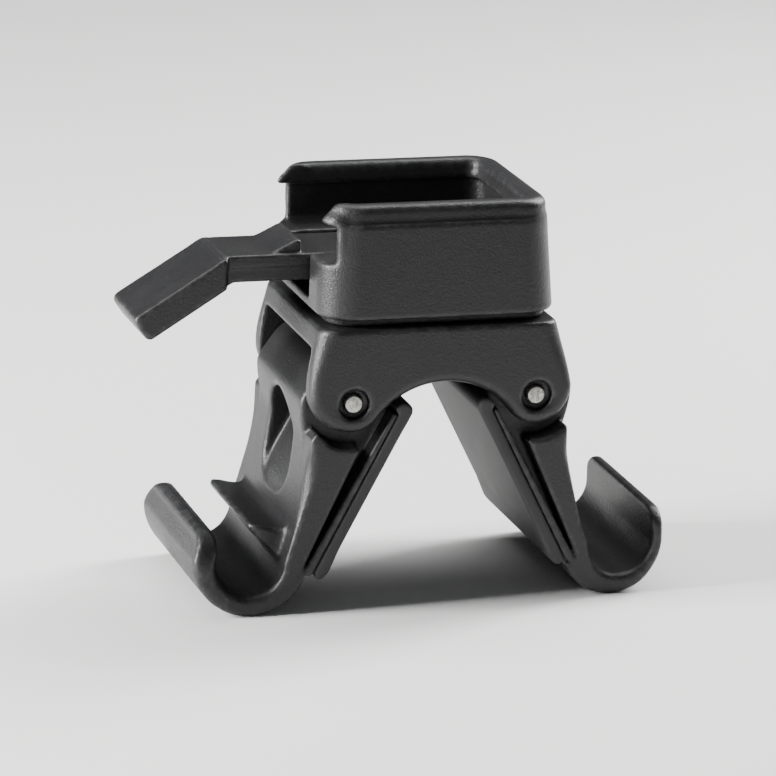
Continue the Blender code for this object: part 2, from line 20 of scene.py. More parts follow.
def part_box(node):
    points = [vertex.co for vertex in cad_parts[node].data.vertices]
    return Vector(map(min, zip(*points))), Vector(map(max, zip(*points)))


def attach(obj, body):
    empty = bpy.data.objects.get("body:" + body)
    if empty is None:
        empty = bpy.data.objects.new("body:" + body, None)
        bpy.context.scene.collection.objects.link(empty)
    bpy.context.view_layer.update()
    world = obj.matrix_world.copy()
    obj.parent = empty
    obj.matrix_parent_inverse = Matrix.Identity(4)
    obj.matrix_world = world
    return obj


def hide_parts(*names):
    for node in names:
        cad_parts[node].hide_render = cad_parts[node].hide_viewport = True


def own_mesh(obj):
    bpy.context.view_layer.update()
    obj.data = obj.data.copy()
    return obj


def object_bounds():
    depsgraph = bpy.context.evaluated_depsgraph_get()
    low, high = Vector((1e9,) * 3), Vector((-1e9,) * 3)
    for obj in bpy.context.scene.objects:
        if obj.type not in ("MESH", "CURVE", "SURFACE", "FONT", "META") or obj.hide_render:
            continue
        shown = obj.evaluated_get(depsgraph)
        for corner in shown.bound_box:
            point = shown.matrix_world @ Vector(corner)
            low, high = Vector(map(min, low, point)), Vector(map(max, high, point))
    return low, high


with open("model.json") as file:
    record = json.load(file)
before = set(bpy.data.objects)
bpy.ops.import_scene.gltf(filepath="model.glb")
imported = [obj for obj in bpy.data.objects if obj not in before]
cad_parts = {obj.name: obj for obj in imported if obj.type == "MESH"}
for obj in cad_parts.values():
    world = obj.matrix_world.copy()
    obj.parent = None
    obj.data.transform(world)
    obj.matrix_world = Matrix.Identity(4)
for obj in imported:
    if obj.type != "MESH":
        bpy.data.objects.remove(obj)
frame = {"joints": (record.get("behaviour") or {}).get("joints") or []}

CAD_LOW, CAD_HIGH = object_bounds()

MM = 0.001
JOINTS = {joint["name"]: joint for joint in frame["joints"]}
LEFT_PIN = Vector(JOINTS["left_leg_hinge"]["pos_m"])
RIGHT_PIN = Vector(JOINTS["right_leg_hinge"]["pos_m"])
MIDDLE = (LEFT_PIN + RIGHT_PIN) / 2
LATCH_PIVOT = (Vector(JOINTS["latch_press"]["pos_m"]) - MIDDLE) / MM

BODY = "mount_body"
LEFT_BODY = "left_leg_body"
RIGHT_BODY = "right_leg_body"
LATCH_BODY = "latch_body"

# Hinges
PIN_X = (RIGHT_PIN.x - LEFT_PIN.x) / 2 / MM
PIN_R = 1.6
PIN_HALF = 18.4
RECESS_R = 2.7
RECESS_DEPTH = 1.5

# Saddle
HALF_DEPTH = 19.0
CHEEK_INNER_Y = 15.0
SADDLE_TOP_Z = 13.3
PLATE_UNDER_Z = 9.3
LOBE_R = 5.3
ARCH_Z = -12.2
SADDLE_EDGE = 1.7
SHOULDER_EDGE = 1.5
RIGHT_END = ((20.2, SADDLE_TOP_Z), (22.0, 6.8), (23.2, 1.5))
LEFT_END = ((-22.7, SADDLE_TOP_Z), (-24.1, 6.8), (-24.5, 1.8))

# Legs, drawn on the right: the left one is deeper and has the wider horn
LEG_ARC_R = 8.0
KNUCKLE_R = 7.1
KNUCKLE_HALF = 14.7
RIGHT_FACE = ((22.6, -6.4), (24.6, -18.9), (27.4, -27.9))
LEFT_FACE = ((24.1, -6.0), (25.7, -17.9), (28.2, -27.9))
RIGHT_HORN_IN = (33.5, -27.9)
LEFT_HORN_IN = (34.3, -27.9)
HORN_IN_R = 6.1
RIGHT_HORN_OUT = (32.1, -27.9)
RIGHT_HORN_OUT_R = 9.6
LEFT_HORN_OUT = (34.2, -27.2)
LEFT_HORN_OUT_R = 10.3
RIGHT_LIP = (40.6, -23.3)
LEFT_LIP = (41.6, -24.0)
RIGHT_LIP_R = 1.0
LEFT_LIP_R = 1.7
LIP_CORNER = 5.5
LEFT_LIP_CORNER_MORE = 1.5
LIP_TAPER = 2.6  # how far in from the lip its corners are still rounded
LEG_HEEL = (25.2, -29.9)

# How far a leg's edges are rounded: in general, and what its face, trough and lip add
LEG_EDGE = 0.4
LEG_FACE_ROUND = 1.9
HORN_EDGE = 0.9
TROUGH_ROUND = 0.5
LIP_ROUND = 0.8

# The hole for the pin, the slot in the outer face and the spur in the left horn
PIN_CLEARANCE = 0.2
SLOT_HALF = 7.4
SLOT_TOP_Z = -1.7
SLOT_LOW_Z = -19.6
SLOT_FOOT_CORNER = 0.75  # as a share of the slot's half width
SLOT_FLOOR = [(20.0, 2.0), (19.5, -3.5), (19.1, -6.9), (26.1, -19.7), (45.0, -19.7), (45.0, 2.0)]
SPUR_TIP = (33.2, -22.75)
SPUR_TIP_R = 0.55
SPUR_HALF = 14.2

# Flange and pad: distances along a line down the inner side of the leg, and off it
PAD_TOP = np.array((9.1, -1.2))
PAD_FOOT = np.array((24.2, -30.4))
PAD_LENGTH = float(np.hypot(*(PAD_FOOT - PAD_TOP)))
FLANGE_T = 0.9
PAD_T = 3.3
PAD_GAP = 0.03
PAD_ROLL_R = 1.55

# Shoe
SHOE_LEFT = -22.3
SHOE_RIGHT = 20.6
SHOE_HALF = 18.4
SHOE_LOW_Z = 14.8
FLOOR_Z = 24.6
LIP_UNDER_Z = 31.3
LIP_TOP_Z = 32.7
SHOULDER_Z = 31.7
RIM_Z = 34.9
BEAD_INSET = 2.65
BEAD_HALF = 1.9
CHANNEL_INSET = 3.0
MOUTH_INSET = 4.5
SHOE_CORNER = 6.5
WALL_END_X = -20.0
SHOE_LEAN = 0.1
NECK_INSET = 1.6
RIM_FOOT_Z = 28.0  # inside the wall
PAST_LEFT = -80.0  # far beyond the open end

# Latch
POCKET_HALF = 7.6
POCKET_FLOOR_Z = 16.6
POCKET_END_X = 0.4
ARM_HALF = 7.1
ARM_TOP_Z = 24.3
ARM_LOW_Z = 19.4
ARM_END_R = 2.4
WAIST_Z = 22.2
WAIST = 0.35  # how much less wide each side is below WAIST_Z
GRIP = [
    (-36.9, 24.2),
    (-36.9, 18.6),
    (-50.2, 10.2),
    (-51.1, 10.4),
    (-53.4, 13.5),
    (-53.2, 14.3),
    (-39.6, 22.7),
    (-38.2, 23.65),
]
GRIP_HALF = 8.5
CATCH = [(-29.4, 24.0), (-24.3, 26.5), (-23.4, 26.5), (-23.4, 22.0), (-29.4, 22.0)]
CATCH_HALF = 6.3
SPRING_X = -13.0
SPRING_SEAT_R = 2.6
SPRING_SEAT_DEPTH = 1.8
SPRING_COIL_R = 1.9
SPRING_WIRE_R = 0.25
SPRING_TURNS = 5
LATCH_PIN_R = 1.0
LATCH_CLEARANCE = 0.1
LATCH_PIN_PAST = 2.9  # beyond the pocket's wall
LATCH_HOLE_PAST = 3.0

# Screws under the saddle's plate
SCREW_X = 9.0
SCREW_Y = 11.6
HEAD_R = 2.4
HEAD_H = 1.7
HEAD_GAP = 0.2
SCREW_R = 1.2
SCREW_TOP_Z = 21.0
SCREW_CLEARANCE = 0.2
SCREW_POINT = 0.6
SCREW_POINT_LENGTH = 2.0
THREAD_PITCH = 0.9
THREAD_DEPTH = 0.18
CROSS_HALF = 1.35
CROSS_SLOT_HALF = 0.32
CROSS_DEPTH = 1.3
CROSS_TAPER = 0.28

# Cell sizes of the meshes, the bend that counts as a full edge, and the boxes they are made in
CELL = 0.32
PAD_CELL = 0.3
LEVER_CELL = 0.26
SCREW_CELL = 0.11
SHARPEST_BEND = 1.2
SADDLE_BOX = (-24.6, -HALF_DEPTH, -5.4), (23.4, HALF_DEPTH, 13.4)
SHOE_BOX = (-22.4, -18.5, 13.3), (20.8, 18.5, 35.0)
LEVER_BOX = (-53.6, -8.6, 10.1), (-0.4, 8.6, 26.7)
SCREW_BOX = (-2.6, -2.6, -2), (2.6, 2.6, 12)
LEG_START_X = 8.4
LEFT_LEG_END_X = 44.8
RIGHT_LEG_END_X = 42.0
LEG_RISE = -37.7, 7.3
PAD_RUN = 6.0, 25.0
PAD_RISE = -32.4, 1.2

# Light and camera, in metres. A light has its name, place, width and height, and watts
LIGHTS = (
    ("left_softbox", (-0.6, 0.0, 0.22), (0.16, 0.5), 18.0),
    ("right_softbox", (0.5, 0.2, 0.4), (0.2, 0.5), 9.0),
    ("overhead", (0.0, 0.25, 0.75), (0.8, 0.4), 6.0),
    ("front_fill", (-0.15, -0.9, 0.3), (0.3, 0.4), 0.5),
)
SKY_COLOUR = (0.8, 0.82, 0.85, 1)
SKY_STRENGTH = 0.13
FLOOR_HALF = 4.0
CAMERA_AIM = Vector((-4.815, 0, -2.933)) * MM
CAMERA_DISTANCE = 0.832
CAMERA_AZIMUTH = math.radians(-17.4)
CAMERA_ELEVATION = math.radians(16.2)
CAMERA_ROLL = math.radians(2.05)
LENS = 218.04
SENSOR = 36.0


# ---------------------------------------------------------------- distance fields


def outline(points, u, v):
    """Distance to a closed outline in the plane of u and v, negative inside."""
    nearest = np.inf
    inside = False
    for (u0, v0), (u1, v1) in zip(points, points[1:] + points[:1]):
        du, dv = u1 - u0, v1 - v0
        length = du * du + dv * dv
        if length < 1e-12:
            continue
        along = np.clip(((u - u0) * du + (v - v0) * dv) / length, 0, 1)
        nearest = np.minimum(nearest, (u - u0 - du * along) ** 2 + (v - v0 - dv * along) ** 2)
        if dv:
            crosses = ((v0 <= v) != (v1 <= v)) & (u < u0 + (v - v0) * du / dv)
            inside = np.logical_xor(inside, crosses)
    return np.where(inside, -1, 1) * np.sqrt(nearest)


def round_box(u, v, low, high, corner):
    """Distance to a rectangle with round corners, from its low and high corner."""
    qu = np.abs(u - (low[0] + high[0]) / 2) - (high[0] - low[0]) / 2 + corner
    qv = np.abs(v - (low[1] + high[1]) / 2) - (high[1] - low[1]) / 2 + corner
    outside = np.hypot(np.maximum(qu, 0), np.maximum(qv, 0))
    return outside + np.minimum(np.maximum(qu, qv), 0) - corner


def between(value, low, high):
    """Distance to a slab from low to high."""
    return np.abs(value - (low + high) / 2) - (high - low) / 2


def round_bar(u, v, centre, radius):
    """Distance to a round bar that runs across the plane of u and v."""
    return np.hypot(u - centre[0], v - centre[1]) - radius


def within(a, b, radius):
    """Where both fields are solid, with the edge between them rounded."""
    inner = np.minimum(np.maximum(a, b), -radius)
    return inner + np.hypot(np.maximum(a + radius, 0), np.maximum(b + radius, 0))


def cut(a, b, radius):
    """The first solid less the second, with the edge between them rounded."""
    return within(a, -b, radius)


def joined(a, b, radius):
    """Both solids, with a fillet of that radius where they meet."""
    return -within(-a, -b, radius)


def step(value, start, end):
    """0 before start, 1 after end, smooth between."""
    t = np.clip((value - start) / (end - start), 0, 1)
    return t * t * (3 - 2 * t)


def arc(centre, radius, start, end):
    """Points on a circle from one angle to another, in degrees, one every 3 degrees."""
    steps = max(3, int(abs(end - start) / 3))
    points = []
    for i in range(steps + 1):
        angle = math.radians(start + (end - start) * i / steps)
        points.append((centre[0] + radius * math.cos(angle), centre[1] + radius * math.sin(angle)))
    return points


def oval(centre, radii, start, end):
    """Points on an upright oval, in the same steps as an arc."""
    return [
        (centre[0] + radii[0] * (u - centre[0]), centre[1] + radii[1] * (v - centre[1]))
        for u, v in arc(centre, 1.0, start, end)
    ]


def bow(first, middle, last):
    """A smooth run through three points, as a quadratic."""
    points = []
    for i in range(17):
        t = i / 16
        a, b, c = 2 * (t - 0.5) * (t - 1), -4 * t * (t - 1), 2 * t * (t - 0.5)
        points.append(tuple(a * p + b * q + c * r for p, q, r in zip(first, middle, last)))
    return points


# ---------------------------------------------------------------- meshes


def blurred(values):
    """Each value mixed with its neighbours: flat faces stay, and sharp edges turn round."""
    for axis in range(3):
        v = np.moveaxis(values, axis, 0)
        v[1:-1] = (v[:-2] + 2 * v[1:-1] + v[2:]) / 4
    return values


def to_frame(points):
    """Millimetres from the middle of the hinges, as metres in the frame."""
    return points * MM + np.array(MIDDLE)


def make_object(name, points, faces, edge=None):
    """A linked object in its place, with the "edge" attribute where one is given."""
    mesh = bpy.data.meshes.new(name)
    mesh.from_pydata(to_frame(np.asarray(points)).tolist(), [], faces)
    mesh.validate()
    if edge is not None:
        layer = mesh.attributes.new("edge", "FLOAT", "POINT")
        layer.data.foreach_set("value", edge.astype(np.float32))
    obj = bpy.data.objects.new(name, mesh)
    bpy.context.scene.collection.objects.link(obj)
    return obj


def skin(name, field, low, high, cell, blurs=1):
    """The mesh of a field's surface.

    Each cell of a grid that the surface crosses gets one point, at the mean of its crossings, and
    each crossed grid line gets one face, between its four cells. The attribute "edge" holds how
    sharply the surface bends outwards, from 0 to 1.
    """
    axes = [np.arange(a - 3 * cell, b + 4 * cell, cell) for a, b in zip(low, high)]
    x, y, z = np.meshgrid(*axes, indexing="ij", sparse=True)
    values = np.array(np.broadcast_to(field(x, y, z), [len(a) for a in axes]), np.float32)
    for _ in range(blurs):
        values = blurred(values)
    cells = np.array(values.shape) - 1
    total = int(np.prod(cells))
    count = np.zeros(total)
    sums = np.zeros((3, total))
    quads = []
    for axis in range(3):
        first = np.moveaxis(np.moveaxis(values, axis, 0)[:-1], 0, axis)
        second = np.moveaxis(np.moveaxis(values, axis, 0)[1:], 0, axis)
        index = np.argwhere((first < 0) != (second < 0))
        a, b = first[tuple(index.T)], second[tuple(index.T)]
        point = index.astype(float)
        point[:, axis] += a / (a - b)
        corners = []
        for back in ((0, 0), (1, 0), (1, 1), (0, 1)):
            cell_index = index.copy()
            cell_index[:, (axis + 1) % 3] -= back[0]
            cell_index[:, (axis + 2) % 3] -= back[1]
            where = np.ravel_multi_index(cell_index.T, cells)
            count += np.bincount(where, minlength=total)
            for i in range(3):
                sums[i] += np.bincount(where, point[:, i], total)
            corners.append(where)
        face = np.stack(corners, 1)
        quads.append(np.where((a < 0)[:, None], face, face[:, ::-1]))
    used = np.flatnonzero(count)
    grid = (sums[:, used] / count[used]).T
    number = np.zeros(total, np.int64)
    number[used] = np.arange(len(used))
    points = grid * cell + np.array([a[0] for a in axes])
    near = tuple(np.rint(grid).astype(int).T)
    bend = sum(
        np.roll(values, 2, axis)[near] + np.roll(values, -2, axis)[near] - 2 * values[near]
        for axis in range(3)
    ) / (2 * cell) ** 2
    faces = number[np.concatenate(quads)]
    obj = make_object(name, points, faces.tolist(), np.clip(bend / SHARPEST_BEND, 0, 1))
    obj.data.shade_smooth()
    return obj


def turned(name, profile, pivot, steps=72):
    """A profile of (radius, height), turned about a line along Y through the pivot."""
    rings = [(r, h) for r, h in profile if r > 0]
    angles = 2 * np.pi * np.arange(steps) / steps
    points = [(r * math.cos(t), r * math.sin(t), h) for r, h in rings for t in angles]
    faces = []
    for i in range(len(rings) - 1):
        for k in range(steps):
            n = (k + 1) % steps
            top, low = i * steps, (i + 1) * steps
            faces.append((top + k, low + k, low + n, top + n))
    points += [(0, 0, profile[0][1]), (0, 0, profile[-1][1])]
    last = (len(rings) - 1) * steps
    for k in range(steps):
        n = (k + 1) % steps
        faces.append((len(points) - 2, k, n))
        faces.append((len(points) - 1, last + n, last + k))
    points = np.array(points)[:, [1, 2, 0]]
    obj = make_object(name, points + np.array(pivot), faces)
    obj.data.shade_smooth()
    obj.data.set_sharp_from_angle(angle=math.radians(35))
    return obj


def both_ends(end):
    """A pin's profile from one end's, which is mirrored for the other."""
    return end + [(r, -h) for r, h in reversed(end)]


def side_box(side, run, rise):
    """The low and high corners of a full-depth box on one side of the mount."""
    left, right = sorted(side * x for x in run)
    return (left, -HALF_DEPTH, rise[0]), (right, HALF_DEPTH, rise[1])


def carry(obj, body, slot, material, *nodes):
    """Gives a finished piece its material and its body, and hides the nodes it stands for; its slot
    is not used.
    """
    obj.data.materials.clear()
    obj.data.materials.append(material)
    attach(obj, body)
    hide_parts(*nodes)


# ---------------------------------------------------------------- saddle


def saddle_outline():
    """The saddle's side view, carried on above its top, which is cut flat afterwards."""
    span = math.hypot(PIN_X, ARCH_Z)
    meet = math.degrees(math.atan2(-ARCH_Z, PIN_X))
    points = [(RIGHT_END[0][0] - 0.9, SADDLE_TOP_Z + 5)] + bow(*RIGHT_END)
    low = (PIN_X, RIGHT_END[2][1])
    points += oval(low, (RIGHT_END[2][0] - PIN_X, low[1] + LOBE_R), 0, -90)[1:]
    points += arc((PIN_X, 0.0), LOBE_R, -90, meet - 180)[1:]
    points += arc((0.0, ARCH_Z), span - LOBE_R, meet, 180 - meet)[1:]
    points += arc((-PIN_X, 0.0), LOBE_R, -meet, -90)[1:]
    low = (-PIN_X, LEFT_END[2][1])
    points += oval(low, (-PIN_X - LEFT_END[2][0], low[1] + LOBE_R), -90, -180)[1:]
    points += bow(*LEFT_END[::-1])[1:]
    points.append((LEFT_END[0][0] + 0.7, SADDLE_TOP_Z + 5))
    return points


def saddle_field(x, y, z):
    """The arch, hollow between its cheeks, with its pin recesses and screw holes."""
    depth = np.abs(y)
    side_view = outline(saddle_outline(), x, z)
    corner = SADDLE_EDGE + SHOULDER_EDGE * step(z, 2, 12) * step(np.abs(x), 12, 18)
    solid = within(side_view, depth - HALF_DEPTH, corner)
    solid = within(solid, z - SADDLE_TOP_Z, radius=0.6)
    hollow = within(depth - CHEEK_INNER_Y, z - PLATE_UNDER_Z, radius=1.0)
    solid = cut(solid, hollow, radius=0.3)
    for pin_x in (-PIN_X, PIN_X):
        radius = np.hypot(x - pin_x, z)
        recess = within(radius - RECESS_R, HALF_DEPTH - RECESS_DEPTH - depth, radius=0.3)
        solid = cut(solid, recess, radius=0.45)
        solid = cut(solid, radius - PIN_R, radius=0.1)
    for screw_x, screw_y in screw_places():
        hole = np.hypot(x - screw_x, y - screw_y) - SCREW_R - SCREW_CLEARANCE
        solid = cut(solid, hole, radius=0.1)
    return solid


# ---------------------------------------------------------------- legs and pads


def on_pad_line(along, off):
    """A point so far down the pad's line, and so far off it towards the rail."""
    run = (PAD_FOOT - PAD_TOP) / PAD_LENGTH
    inward = np.array((run[1], -run[0]))
    return tuple(PAD_TOP + run * along + inward * off)


def off_pad_line(u, z):
    """How far a point lies outwards of the pad's line."""
    run = (PAD_FOOT - PAD_TOP) / PAD_LENGTH
    return (z - PAD_TOP[1]) * run[0] - (u - PAD_TOP[0]) * run[1]


def leg_outline(side):
    """A leg in side view: its round top, its outer face, the horn and its lip, and the heel."""
    if side < 0:
        shoulder, face, horn_in = -36, LEFT_FACE, LEFT_HORN_IN
        horn_out, horn_out_r, lip, lip_r = LEFT_HORN_OUT, LEFT_HORN_OUT_R, LEFT_LIP, LEFT_LIP_R
    else:
        shoulder, face, horn_in = -42, RIGHT_FACE, RIGHT_HORN_IN
        horn_out, horn_out_r, lip, lip_r = RIGHT_HORN_OUT, RIGHT_HORN_OUT_R, RIGHT_LIP, RIGHT_LIP_R
    points = arc((PIN_X, 0.0), LEG_ARC_R, -100.5, shoulder)
    points += bow(*face)
    points += arc(horn_in, HORN_IN_R, 184, 360)[1:]
    points += arc(lip, lip_r, 180, 0)
    points += arc(horn_out, horn_out_r, 0, -157)
    points.append(LEG_HEEL)
    return points


def web_outline(side):
    """A leg's narrower middle in side view, from under the knuckle down to the flange's foot."""
    top_x = (LEFT_FACE if side < 0 else RIGHT_FACE)[0][0] - 0.1
    return [
        on_pad_line(1.2, FLANGE_T / 2),
        on_pad_line(30.5, FLANGE_T / 2),
        (24.6, -27.5),
        (top_x + 0.9, -16.0),
        (top_x, -6.5),
        (top_x - 0.3, -1.0),
        (12.5, -1.0),
    ]


def flange_outline():
    """The thin flange that the pad lies on."""
    return [
        on_pad_line(0.6, 0.0),
        on_pad_line(0.6, FLANGE_T),
        on_pad_line(PAD_LENGTH, FLANGE_T),
        on_pad_line(PAD_LENGTH + 0.6, -0.8),
    ]


def spur_outline():
    """The spur in side view: a tongue with a hollow top, thick at the leg and thin at its tip."""
    points = [(25.2, -23.2), (26.9, -28.6), (28.9, -27.7)]
    points += arc(SPUR_TIP, SPUR_TIP_R, -50, 95)
    points += [(31.4, -22.6), (29.4, -23.1), (27.6, -23.3)]
    return points


def leg_field(side):
    """A leg, left at -1 and right at 1, with its knuckle, flange, slot and horn, and the left
    one's spur."""
    horn_in, lip = (LEFT_HORN_IN, LEFT_LIP) if side < 0 else (RIGHT_HORN_IN, RIGHT_LIP)

    def field(x, y, z):
        u = side * x
        depth = np.abs(y)
        groove = off_pad_line(u, z)
        horn = step(u, 27, 31)
        trough = np.abs(round_bar(u, z, horn_in, HORN_IN_R))
        face = step(groove, 5.0, 8.0) * step(-z, 5, 12)
        face_edge = LEG_EDGE + LEG_FACE_ROUND * face * (1 - horn)
        horn_edge = HORN_EDGE + TROUGH_ROUND * (1 - step(trough, 0, 1.5))
        horn_edge = horn_edge + LIP_ROUND * step(u, 37, 41)
        corner = face_edge * (1 - horn) + horn_edge * horn
        solid = within(outline(leg_outline(side), u, z), depth - HALF_DEPTH, corner)
        knuckle = round_bar(u, z, (PIN_X, 0.0), KNUCKLE_R)
        middle = joined(knuckle, outline(web_outline(side), u, z), radius=5.0)
        solid = joined(solid, within(middle, depth - KNUCKLE_HALF, radius=0.9), radius=0.3)
        flange = outline(flange_outline(), u, z)
        solid = joined(solid, within(flange, depth - HALF_DEPTH + 0.1, radius=0.15), radius=0.25)
        top, low = SLOT_TOP_Z, SLOT_LOW_Z
        corner = np.where(z > (top + low) / 2, SLOT_HALF, SLOT_FOOT_CORNER * SLOT_HALF)
        slot = round_box(y, z, (-SLOT_HALF, low), (SLOT_HALF, top), corner)
        slot = within(slot, outline(SLOT_FLOOR, u, z), radius=0.4)
        solid = cut(solid, slot, radius=0.9)
        if side < 0:
            spur = outline(spur_outline(), u, z)
            tips = round_box(u, y, (20, -SPUR_HALF), (SPUR_TIP[0] + SPUR_TIP_R, SPUR_HALF), 2.2)
            solid = joined(solid, within(spur, tips, radius=0.25), radius=1.3)
        lip_z = RIGHT_LIP[1] + RIGHT_LIP_R
        corner = LIP_CORNER + (LEFT_LIP_CORNER_MORE if side < 0 else 0)
        tips = round_box(y, z, (-HALF_DEPTH, lip_z - 60), (HALF_DEPTH, lip_z), corner)
        solid = within(solid, tips - 2 * np.maximum(lip[0] - LIP_TAPER - u, 0), radius=0.6)
        return cut(solid, np.hypot(u - PIN_X, z) - PIN_R - PIN_CLEARANCE, radius=0.1)

    return field


def pad_outline():
    """The pad in side view: a roll above the flange's top edge, a flat face and a blunt foot."""
    back = FLANGE_T + PAD_GAP
    points = [on_pad_line(0.35, back), on_pad_line(0.35, 0.1)]
    for angle in np.linspace(0, math.pi, 25):
        along = -0.35 - PAD_ROLL_R * math.sin(angle)
        points.append(on_pad_line(along, 0.1 + PAD_ROLL_R - PAD_ROLL_R * math.cos(angle)))
    points += [on_pad_line(4.5, PAD_T - 0.2), on_pad_line(26.5, PAD_T - 0.2)]
    points += [on_pad_line(30.6, PAD_T + 0.1), on_pad_line(32.3, 3.0), on_pad_line(33.0, 2.3)]
    points += [on_pad_line(32.6, 1.5), on_pad_line(32.0, back)]
    return points


def pad_field(side):
    """The full-depth rubber pad of the leg on that side."""

    def field(x, y, z):
        return within(outline(pad_outline(), side * x, z), np.abs(y) - HALF_DEPTH, radius=0.3)

    return field


# ---------------------------------------------------------------- shoe


def latch_hole(x, z):
    """The hole for the latch's pin, in the shoe and in the lever."""
    return np.hypot(x - LATCH_PIVOT.x, z - LATCH_PIVOT.z) - LATCH_PIN_R - LATCH_CLEARANCE


def shoe_field(x, y, z):
    """The block, its undercut channel, mouth and beaded rim, its neck and the latch's pocket."""
    lean = SHOE_LEAN * (z - SHOE_LOW_Z) * step(x, -5, 14)
    u = x + lean
    depth = np.abs(y)

    def plan(inset, left=SHOE_LEFT):
        low = (left + inset, -SHOE_HALF + inset)
        high = (SHOE_RIGHT - inset, SHOE_HALF - inset)
        return round_box(u, y, low, high, max(SHOE_CORNER - inset, 1.5))

    edge = plan(0)
    block = within(edge, between(z, SHOE_LOW_Z, SHOULDER_Z), radius=0.35)
    tip = 1 - step(u, -21, -17)
    inset = BEAD_INSET - 0.6 * step(u, 13, 19) + 0.3 * tip
    bead = within(np.abs(edge + inset) - BEAD_HALF, between(z, RIM_FOOT_Z, RIM_Z), radius=1.5)
    lip = within(edge + 1.0 - 0.9 * tip, between(z, RIM_FOOT_Z, LIP_TOP_Z), radius=0.2)
    solid = joined(joined(block, bead, radius=0.3), lip, radius=0.2 + 1.6 * tip)
    mouth = plan(MOUTH_INSET, PAST_LEFT)
    solid = cut(solid, np.maximum(mouth, LIP_UNDER_Z - 2 - z), radius=0.45)
    level = between(z, FLOOR_Z, LIP_UNDER_Z)
    solid = cut(solid, within(plan(CHANNEL_INSET, PAST_LEFT), level, radius=0.4), radius=0.3)
    solid = cut(solid, within(x - WALL_END_X, level, radius=0.4), radius=0.5)
    neck = within(plan(NECK_INSET), between(z, SADDLE_TOP_Z + 0.1, SHOE_LOW_Z + 0.2), radius=0.1)
    solid = joined(solid, neck, radius=0.2)
    pocket = within(depth - POCKET_HALF, x - POCKET_END_X, radius=0.6)
    pocket = within(pocket, POCKET_FLOOR_Z - z, radius=0.5)
    solid = cut(solid, pocket, radius=0.3)
    hole = np.maximum(latch_hole(x, z), depth - POCKET_HALF - LATCH_HOLE_PAST)
    return cut(solid, hole, radius=0.1)


# ---------------------------------------------------------------- latch lever


def arm_outline():
    """The lever's flat arm in side view, from its round end at the pivot out to the grip."""
    points = arc((LATCH_PIVOT.x, LATCH_PIVOT.z), ARM_END_R, 80, -80)
    points += [(-35.4, ARM_LOW_Z), (-38.0, 18.0), (-38.0, 23.75), (-37.1, 24.15)]
    points.append((-36.0, ARM_TOP_Z))
    return points


def lever_field(x, y, z):
    """The arm, narrower below its waist line, the sloping grip and the ramped catch."""
    depth = np.abs(y)
    waist = WAIST * step(WAIST_Z - z, 0, 0.25)
    arm = within(outline(arm_outline(), x, z), depth - ARM_HALF + waist, radius=0.4)
    grip = within(outline(GRIP, x, z), depth - GRIP_HALF, radius=0.7)
    tips = round_box(x, y, (-53.5, -GRIP_HALF), (-20, GRIP_HALF), 1.6)
    grip = within(grip, tips, radius=0.5)
    solid = joined(arm, grip, radius=0.5)
    catch = within(outline(CATCH, x, z), depth - CATCH_HALF, radius=0.25)
    solid = joined(solid, catch, radius=0.25)
    seat = np.hypot(x - SPRING_X, y) - SPRING_SEAT_R
    solid = cut(solid, np.maximum(seat, z - ARM_LOW_Z - SPRING_SEAT_DEPTH), radius=0.2)
    return cut(solid, latch_hole(x, z), radius=0.1)


# ---------------------------------------------------------------- screws and spring


def screw_places():
    """Where the four screws go up through the saddle's plate."""
    return [(x, y) for x in (-SCREW_X, SCREW_X) for y in (-SCREW_Y, SCREW_Y)]


def screw_field(x, y, z):
    """One screw, its head's seat at height 0 and its point up, with a cross recess from below."""
    radius = np.hypot(x, y)
    head = within(radius - HEAD_R, np.abs(z + HEAD_H / 2) - HEAD_H / 2, radius=0.6)
    top = SCREW_TOP_Z - PLATE_UNDER_Z
    rise = np.mod(z - np.arctan2(y, x) * THREAD_PITCH / (2 * math.pi), THREAD_PITCH)
    thread = THREAD_DEPTH * np.abs(rise / (THREAD_PITCH / 2) - 1)
    point = SCREW_POINT * step(-z, -top, -top + SCREW_POINT_LENGTH)
    shank = within(radius - SCREW_R + thread - point, z - top, radius=0.2)
    solid = joined(head, np.maximum(shank, -z - 0.5), radius=0.1)
    taper = CROSS_TAPER * (z + HEAD_H)
    width, length = CROSS_SLOT_HALF, CROSS_HALF
    slot_a = np.maximum(np.abs(x) - width + taper * 0.3, np.abs(y) - length + taper)
    slot_b = np.maximum(np.abs(y) - width + taper * 0.3, np.abs(x) - length + taper)
    cross = np.maximum(np.minimum(slot_a, slot_b), z + HEAD_H - CROSS_DEPTH)
    return cut(solid, cross, radius=0.08)


